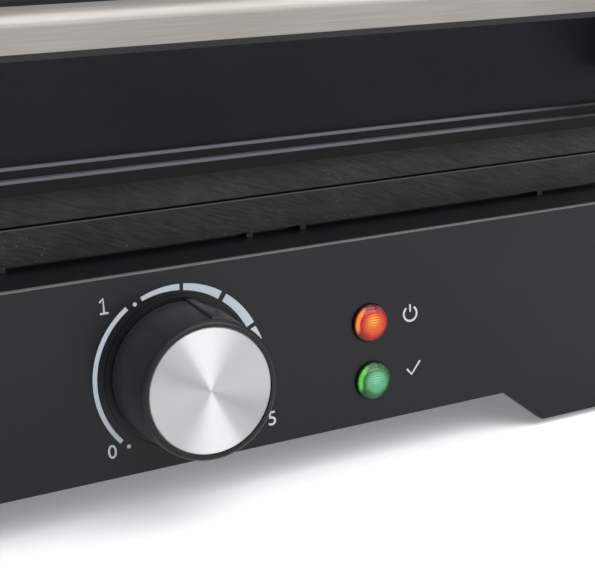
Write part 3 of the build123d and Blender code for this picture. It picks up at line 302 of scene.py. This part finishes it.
def lens_acrylic(name, height, stops, crescent, glare_colour, glow):
    """Dyed acrylic over a lit lamp: a deep rim with a painted, glowing highlight crescent, a bright middle
    and fine prisms.

    The stops go from the middle of the lens to its edge, by share of its radius.
    """
    material, tree, shader = surface(name, Roughness=0.2, IOR=1.49, Specular_IOR_Level=0.25,
                                     Coat_Weight=0.25, Coat_Roughness=0.04)
    place = add(tree, "ShaderNodeTexCoord")
    centre = add(tree, "ShaderNodeMapping", {"Location": (-lamp_x * mm, 0, -height * mm)},
                 {"Vector": place.outputs["Object"]})
    # The cloud in the moulding shifts the ring a little, so that it isn't a perfect circle.
    cloud = add(tree, "ShaderNodeTexNoise", {"Scale": 1 / (2.2 * mm), "Detail": 2.0},
                {"Vector": centre.outputs["Vector"]})
    flat = add(tree, "ShaderNodeVectorMath", {1: (1, 0, 1)}, {0: centre.outputs["Vector"]},
               operation="MULTIPLY")
    reach = add(tree, "ShaderNodeVectorMath", None, {0: flat.outputs["Vector"]}, operation="LENGTH")
    share = add(tree, "ShaderNodeMapRange", {"From Max": lens_radius * mm},
                {"Value": reach.outputs["Value"]})
    drift = add(tree, "ShaderNodeMapRange", {"To Min": -0.09, "To Max": 0.09},
                {"Value": cloud.outputs["Fac"]})
    cloudy_share = add(tree, "ShaderNodeMath", None,
                       {0: share.outputs["Result"], 1: drift.outputs["Result"]}, operation="ADD")
    ramp = add(tree, "ShaderNodeValToRGB", None, {"Fac": cloudy_share.outputs["Value"]})
    ramp_stops(ramp, stops)
    # The crescent: a painted highlight on the upper left part of the rim, coloured and made to glow as
    # though the studio light from the upper left fell on the dome.
    lean_x, lean_z = (part / (lens_radius * mm) for part in painted_crescent_lean)
    lean = add(tree, "ShaderNodeVectorMath", {1: (lean_x, 0, lean_z)}, {0: flat.outputs["Vector"]},
               operation="DOT_PRODUCT")
    leaning = add(tree, "ShaderNodeMapRange", {"From Min": 0.55, "From Max": 0.72},
                  {"Value": lean.outputs["Value"]})
    inside = add(tree, "ShaderNodeMapRange", {"From Min": 0.96, "From Max": 0.88},
                 {"Value": share.outputs["Result"]})
    outside = add(tree, "ShaderNodeMapRange", {"From Min": 0.71, "From Max": 0.79},
                  {"Value": share.outputs["Result"]})
    ring = add(tree, "ShaderNodeMath", None, {0: inside.outputs["Result"], 1: outside.outputs["Result"]},
               operation="MULTIPLY")
    painted_crescent_mask = add(tree, "ShaderNodeMath", None,
                        {0: ring.outputs["Value"], 1: leaning.outputs["Result"]}, operation="MULTIPLY")
    painted_crescent_mix = add(tree, "ShaderNodeMixRGB", {"Color2": colour(crescent)},
                       {"Fac": painted_crescent_mask.outputs["Value"], "Color1": ramp.outputs["Color"]})
    # The prisms are brightest over the lamp's glow.
    prisms = add(tree, "ShaderNodeTexWave",
                 {"Scale": wave_scale(prism_spacing), "Distortion": 1.2, "Detail Scale": 1.5},
                 {"Vector": centre.outputs["Vector"]}, bands_direction="Z")
    glare = add(tree, "ShaderNodeVectorMath", {1: (0, 0, glare_rise * mm)}, {0: flat.outputs["Vector"]},
                operation="DISTANCE")
    near = add(tree, "ShaderNodeMapRange", {"From Min": glare_reach * mm, "From Max": glare_core * mm},
               {"Value": glare.outputs["Value"]})
    line = add(tree, "ShaderNodeMapRange", {"From Min": 0.3, "From Max": 0.9, "To Min": 0.1},
               {"Value": prisms.outputs["Fac"]})
    glare_mask = add(tree, "ShaderNodeMath", None, {0: near.outputs["Result"], 1: line.outputs["Result"]},
                     operation="MULTIPLY")
    shown = add(tree, "ShaderNodeMixRGB", {"Color2": colour(glare_colour)},
                {"Fac": glare_mask.outputs["Value"], "Color1": painted_crescent_mix.outputs["Color"]})
    bump = add(tree, "ShaderNodeBump", {"Strength": 0.3, "Distance": 0.12 * mm},
               {"Height": prisms.outputs["Fac"]})
    fade = add(tree, "ShaderNodeMapRange",
               {"From Min": 0.35, "From Max": 0.85, "To Min": glow, "To Max": 0.04},
               {"Value": cloudy_share.outputs["Value"]})
    # The painted highlight crescent glows more than the rest of the rim.
    side = add(tree, "ShaderNodeMath", {1: glow * 1.4}, {0: painted_crescent_mask.outputs["Value"]},
               operation="MULTIPLY")
    both = add(tree, "ShaderNodeMath", None, {0: fade.outputs["Result"], 1: side.outputs["Value"]},
               operation="ADD")
    sparkle = add(tree, "ShaderNodeMapRange", {"To Min": 0.5, "To Max": 1.5},
                  {"Value": prisms.outputs["Fac"]})
    lit = add(tree, "ShaderNodeMath", None, {0: both.outputs["Value"], 1: sparkle.outputs["Result"]},
              operation="MULTIPLY")
    tree.links.new(shown.outputs["Color"], shader.inputs["Base Color"])
    tree.links.new(shown.outputs["Color"], shader.inputs["Emission Color"])
    tree.links.new(lit.outputs["Value"], shader.inputs["Emission Strength"])
    tree.links.new(bump.outputs["Normal"], shader.inputs["Normal"])
    return material


aluminium_cap = spun_aluminium()
red_stops = [(0.0, "#A8520A"), (0.46, "#A44008"), (0.58, "#A81C12"), (0.76, "#8A0A14"), (0.9, "#50060C"),
             (1.0, "#1C0304")]
green_stops = [(0.0, "#528A6A"), (0.5, "#42805A"), (0.62, "#246436"), (0.78, "#0E4A1A"), (0.92, "#063010"),
               (1.0, "#021808")]
red_acrylic = lens_acrylic("red_acrylic", lamp_heights["red"], red_stops, "#D87020", "#DC9430", 0.18)
green_acrylic = lens_acrylic("green_acrylic", lamp_heights["green"], green_stops, "#4CA838", "#6CA086", 0.12)
# The neon's glass and sleeve, seen only with the lens off.
neon_glass = grained("neon_lamp_glass", "#D8C8B4", "#E8DCCB", (0.1, 0.16), 1.2, 0.004)
# Pad-printed ink: flat pale grey with a soft sheen.
printed_ink = grained("pad_printed_ink", "#9AA2AA", "#A4ACB4", (0.42, 0.5), 0.6, 0.004)

finishes = {
    moulded_abs: ["base_housing", "rear_panel"],
    polished_abs: ["lid_housing"],
    rim_abs: ["lid_frame"],
    filled_nylon: ["base_cover", "drip_tray", "cord_inlet", "left_hinge_glide", "right_hinge_glide",
                   "handle_core", "left_handle_bracket", "right_handle_bracket", "lid_hinge_beam",
                   "left_hinge_post", "right_hinge_post"],
    knob_abs: ["control_knob"],
    silicone: ["rubber_feet"],
    enamel: ["lower_pan", "upper_pan"],
    sheath: ["lower_heating_element", "upper_heating_element"],
    zinc: ["base_cover_screws", "lower_element_clips", "upper_element_clips", "lower_plate_screws",
           "upper_plate_screws", "lower_pan_screws", "upper_pan_screws", "thermostat", "thermostat_nut",
           "thermostat_bulb", "thermal_fuse", "hinge_post_screws", "hinge_beam_screws", "lid_screws",
           "handle_screws"],
    ground_steel: ["control_shaft", "hinge_shaft"],
    brushed_steel: ["handle_bar"],
    urea: ["terminal_block", "upper_cutout"],
    lower_casting: ["lower_grill_plate"],
    upper_casting: ["upper_grill_plate"],
    aluminium_cap: ["knob_cap"],
    red_acrylic: ["red_lens"],
    green_acrylic: ["green_lens"],
    neon_glass: ["red_lamp", "green_lamp"],
}
for finish, names in finishes.items():
    for name in names:
        for slot in nodes[name].material_slots:
            slot.material = finish


# ---- printed dial and marks ----
def keep_piece(piece, name, finish, body):
    """Names a finished piece, puts its place in its mesh and lets it ride on its body."""
    piece.name = name
    piece.data.name = name
    piece.data.transform(piece.matrix_world)
    piece.matrix_world = Matrix.Identity(4)
    piece.data.materials.clear()
    piece.data.materials.append(finish)
    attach(piece, body)
    return piece


def on_panel(radius, degrees, centre=knob):
    """A point of the panel by its distance and angle from a centre, seen from the front."""
    angle = math.radians(degrees)
    return centre[0] + radius * math.cos(angle), centre[1] + radius * math.sin(angle)


step_degrees = 1.5            # one facet of a printed band
fewest_steps = 6


def swept_mark(name, start, end, inner, outer, centre=knob):
    """A printed band round a centre, spun from a small plane; its two radii may change on the way."""
    bpy.ops.object.select_all(action="DESELECT")
    bpy.ops.mesh.primitive_plane_add(size=mm)
    piece = bpy.context.object
    for index, vertex in enumerate(piece.data.vertices):
        x, z = on_panel(inner[0] if index % 2 == 0 else outer[0], start, centre)
        vertex.co = (x * mm, (panel_y - (0.0 if index < 2 else print_rise)) * mm, z * mm)
    bpy.ops.object.mode_set(mode="EDIT")
    bpy.ops.mesh.select_all(action="SELECT")
    bpy.ops.mesh.spin(steps=max(fewest_steps, int(abs(end - start) / step_degrees)),
                      angle=math.radians(start - end),
                      center=(centre[0] * mm, panel_y * mm, centre[1] * mm), axis=(0, -1, 0))
    bpy.ops.mesh.select_all(action="SELECT")
    bpy.ops.mesh.remove_doubles(threshold=0.001 * mm)
    bpy.ops.mesh.normals_make_consistent(inside=False)
    bpy.ops.object.mode_set(mode="OBJECT")
    # Each point takes its radius from its share of the way, so that the band grows evenly.
    middle = (inner[0] + outer[0]) / 2
    for vertex in piece.data.vertices:
        dx, dz = vertex.co.x / mm - centre[0], vertex.co.z / mm - centre[1]
        turned = (math.degrees(math.atan2(dz, dx)) - min(start, end) + 1.0) % 360 - 1.0
        share = turned / abs(end - start) if end > start else 1 - turned / abs(end - start)
        ends = outer if math.hypot(dx, dz) > middle else inner
        grown = (ends[0] + share * (ends[1] - ends[0])) / math.hypot(dx, dz)
        vertex.co.x = (centre[0] + dx * grown) * mm
        vertex.co.z = (centre[1] + dz * grown) * mm
    return keep_piece(piece, name, printed_ink, "base")


def round_mark(name, x, z, radius):
    """A printed dot."""
    bpy.ops.object.select_all(action="DESELECT")
    bpy.ops.mesh.primitive_circle_add(vertices=20, radius=radius * mm, fill_type="NGON",
                                      location=(x * mm, panel_y * mm, z * mm), rotation=(math.pi / 2, 0, 0))
    bpy.ops.object.mode_set(mode="EDIT")
    bpy.ops.mesh.select_all(action="SELECT")
    bpy.ops.mesh.extrude_region_move(TRANSFORM_OT_translate={"value": (0, -print_rise * mm, 0)})
    bpy.ops.mesh.select_all(action="SELECT")
    bpy.ops.mesh.normals_make_consistent(inside=False)
    bpy.ops.object.mode_set(mode="OBJECT")
    return keep_piece(bpy.context.object, name, printed_ink, "base")


def stroke_mark(name, points, width, x, z):
    """A printed stroke through points given in mm about its place: a flattened round line made a mesh."""
    bpy.ops.object.select_all(action="DESELECT")
    line = bpy.data.curves.new(name, "CURVE")
    line.dimensions = "3D"
    line.bevel_depth = width / 2 * mm
    line.bevel_resolution = 3
    line.use_fill_caps = True
    run = line.splines.new("POLY")
    run.points.add(len(points) - 1)
    for point, (px, pz) in zip(run.points, points):
        point.co = (px * mm, pz * mm, 0, 1)
    piece = bpy.data.objects.new(name, line)
    bpy.context.scene.collection.objects.link(piece)
    piece.select_set(True)
    bpy.context.view_layer.objects.active = piece
    bpy.ops.object.convert(target="MESH")
    piece = bpy.context.object
    piece.data.transform(Matrix.Translation((x * mm, (panel_y - print_rise / 2) * mm, z * mm))
                         @ Matrix.Rotation(math.pi / 2, 4, "X")
                         @ Matrix.Diagonal((1, 1, print_rise / width, 1)))
    return keep_piece(piece, name, printed_ink, "base")


digit_share = 0.7             # a digit's height as a share of its font's size
digit_spread = 0.02           # how far the ink runs past the font's outline


def number_mark(name, text, x, z, height):
    """A plain printed number."""
    bpy.ops.object.select_all(action="DESELECT")
    bpy.ops.object.text_add()
    digits = bpy.context.object.data
    digits.body = text
    digits.size = height * mm / digit_share
    digits.align_x = "CENTER"
    digits.align_y = "CENTER"
    digits.extrude = print_rise / 2 * mm
    digits.offset = digit_spread * mm
    bpy.ops.object.convert(target="MESH")
    piece = bpy.context.object
    piece.data.transform(Matrix.Translation((x * mm, (panel_y - print_rise / 2) * mm, z * mm))
                         @ Matrix.Rotation(math.pi / 2, 4, "X"))
    return keep_piece(piece, name, printed_ink, "base")


# The dial grows from a thin arc over three steps to an arrow. Each band has its first and last angle, its
# inner radius at both ends and its outer radius at both ends.
dial_bands = {
    "dial_thin_arc": (124.6, 220.5, (25.35, 25.35), (26.65, 26.65)),
    "dial_step_one": (113.9, 87.1, (24.95, 24.3), (26.2, 26.1)),
    "dial_step_two": (84.5, 57.3, (24.2, 23.6), (26.15, 26.1)),
    "dial_step_three": (53.7, 25.6, (23.6, 23.25), (26.05, 26.05)),
    "dial_arrow": (22.6, 12.6, (24.0, 26.2), (25.9, 26.3)),
}
for label, (start, end, inner, outer) in dial_bands.items():
    swept_mark(label, start, end, inner, outer)
dot_radius = 0.6
for label, radius, degrees in (("dial_dot_low", 25.8, -133.7), ("dial_dot_high", 25.4, 119.0)):
    round_mark(label, *on_panel(radius, degrees), dot_radius)
number_mark("number_zero", "0", *on_panel(30.0, -139.6), 4.0)
number_mark("number_five", "5", *on_panel(33.5, -35.6), 4.4)
# The number one, with its flag and foot, beside the start of the steps.
one_x, one_z = on_panel(31.5, 132.7)
one_half = 2.1                # half of its height
one_stroke = 0.6
stroke_mark("number_one", [(-1.1, 1.1), (0, one_half), (0, -one_half)], one_stroke, one_x, one_z)
stroke_mark("number_one_foot", [(-1.2, -one_half), (1.2, -one_half)], one_stroke, one_x, one_z)
# Plain signs beside the lamps: a ring with a stroke, and a tick.
ring_x, ring_z = 52.0, 46.6
tick_x, tick_z = 52.3, 28.6
swept_mark("lamp_sign_ring", 125.0, 415.0, (2.0, 2.0), (2.65, 2.65), (ring_x, ring_z))
stroke_mark("lamp_sign_stroke", [(0, 0.6), (0, 3.0)], 0.65, ring_x, ring_z)
stroke_mark("lamp_sign_tick", [(-2.3, 0.3), (-0.7, -1.6), (2.5, 2.3)], 0.7, tick_x, tick_z)


# ---- floor, light and camera ----
bpy.ops.object.select_all(action="DESELECT")
floor_drop = 0.2              # floor under the feet, so that the two don't share a plane
floor_size = 8000.0
bpy.ops.mesh.primitive_plane_add(size=floor_size * mm, location=(0, 0, -floor_drop * mm))
floor = bpy.context.object
floor.name = "studio_floor"
floor.data.transform(floor.matrix_world)
floor.matrix_world = Matrix.Identity(4)
# White acrylic lit a little from below, so that the shadow under the grill stays pale.
floor.data.materials.append(grained("white_light_table", "#EDEDED", "#F2F2F2", (0.7, 0.8), 40.0, 0.01,
                                    Emission_Color=colour("#FAFCFF"), Emission_Strength=0.22))

world = bpy.data.worlds.new("studio_world")
bpy.context.scene.world = world
world.use_nodes = True
studio_air = world.node_tree.nodes["Background"]
studio_air.inputs["Color"].default_value = colour("#FAFBFC")
studio_air.inputs["Strength"].default_value = 0.65
# White paper is to show as white, as in a product photograph.
bpy.context.scene.view_settings.view_transform = "Standard"


def softbox(name, place, aim, width, depth, power):
    """A large soft light that faces a point; sizes and places in metres, power in watts."""
    light = bpy.data.lights.new(name, "AREA")
    light.shape = "RECTANGLE"
    light.size = width
    light.size_y = depth
    light.energy = power
    lamp = bpy.data.objects.new(name, light)
    lamp.location = place
    lamp.rotation_euler = (Vector(aim) - Vector(place)).to_track_quat("-Z", "Y").to_euler()
    bpy.context.scene.collection.objects.link(lamp)


softbox("top_softbox", place=(0.5, 0.1, 1.2), aim=(0, 0, 0.05), width=1.4, depth=1.0, power=3.5)
softbox("strip_softbox", place=(0.42, -1.0, 0.85), aim=(0, -0.1, 0.05), width=1.25, depth=1.1, power=19.0)
softbox("right_softbox", place=(1.2, -0.6, 0.45), aim=(0, -0.1, 0.05), width=0.7, depth=0.7, power=2.0)
softbox("back_softbox", place=(-0.5, 1.3, 0.8), aim=(0, 0.1, 0.05), width=1.0, depth=0.7, power=4.0)
softbox("front_softbox", place=(-0.6, -1.2, 0.9), aim=(0, -0.15, 0.05), width=0.5, depth=0.5, power=2.0)

# The camera stands left of the knob and above it, looks a little down and is rolled slightly.
camera_place = (-144.9, -450.1, 145.0)
camera_degrees = (25.208, 12.777, -3.544)     # turned to the right, tilted down, rolled
focal_pixels = 1286.0         # focal length in pixels of a picture of the width below
picture_pixels = 595.0
sensor_width = 36.0
turn, tilt, roll = (math.radians(angle) for angle in camera_degrees)
back = Vector((-math.sin(turn) * math.cos(tilt), -math.cos(turn) * math.cos(tilt), math.sin(tilt)))
right = Vector((math.cos(turn), -math.sin(turn), 0))
up = back.cross(right)
right_rolled = math.cos(roll) * right + math.sin(roll) * up
up_rolled = -math.sin(roll) * right + math.cos(roll) * up
view = bpy.data.cameras.new("photo_camera")
view.sensor_fit = "HORIZONTAL"
view.sensor_width = sensor_width
view.lens = focal_pixels / picture_pixels * sensor_width
view.clip_start = 10.0 * mm
camera = bpy.data.objects.new("photo_camera", view)
matrix = Matrix((right_rolled, up_rolled, back)).transposed().to_4x4()
matrix.translation = Vector(camera_place) * mm
camera.matrix_world = matrix
bpy.context.scene.collection.objects.link(camera)
bpy.context.scene.camera = camera
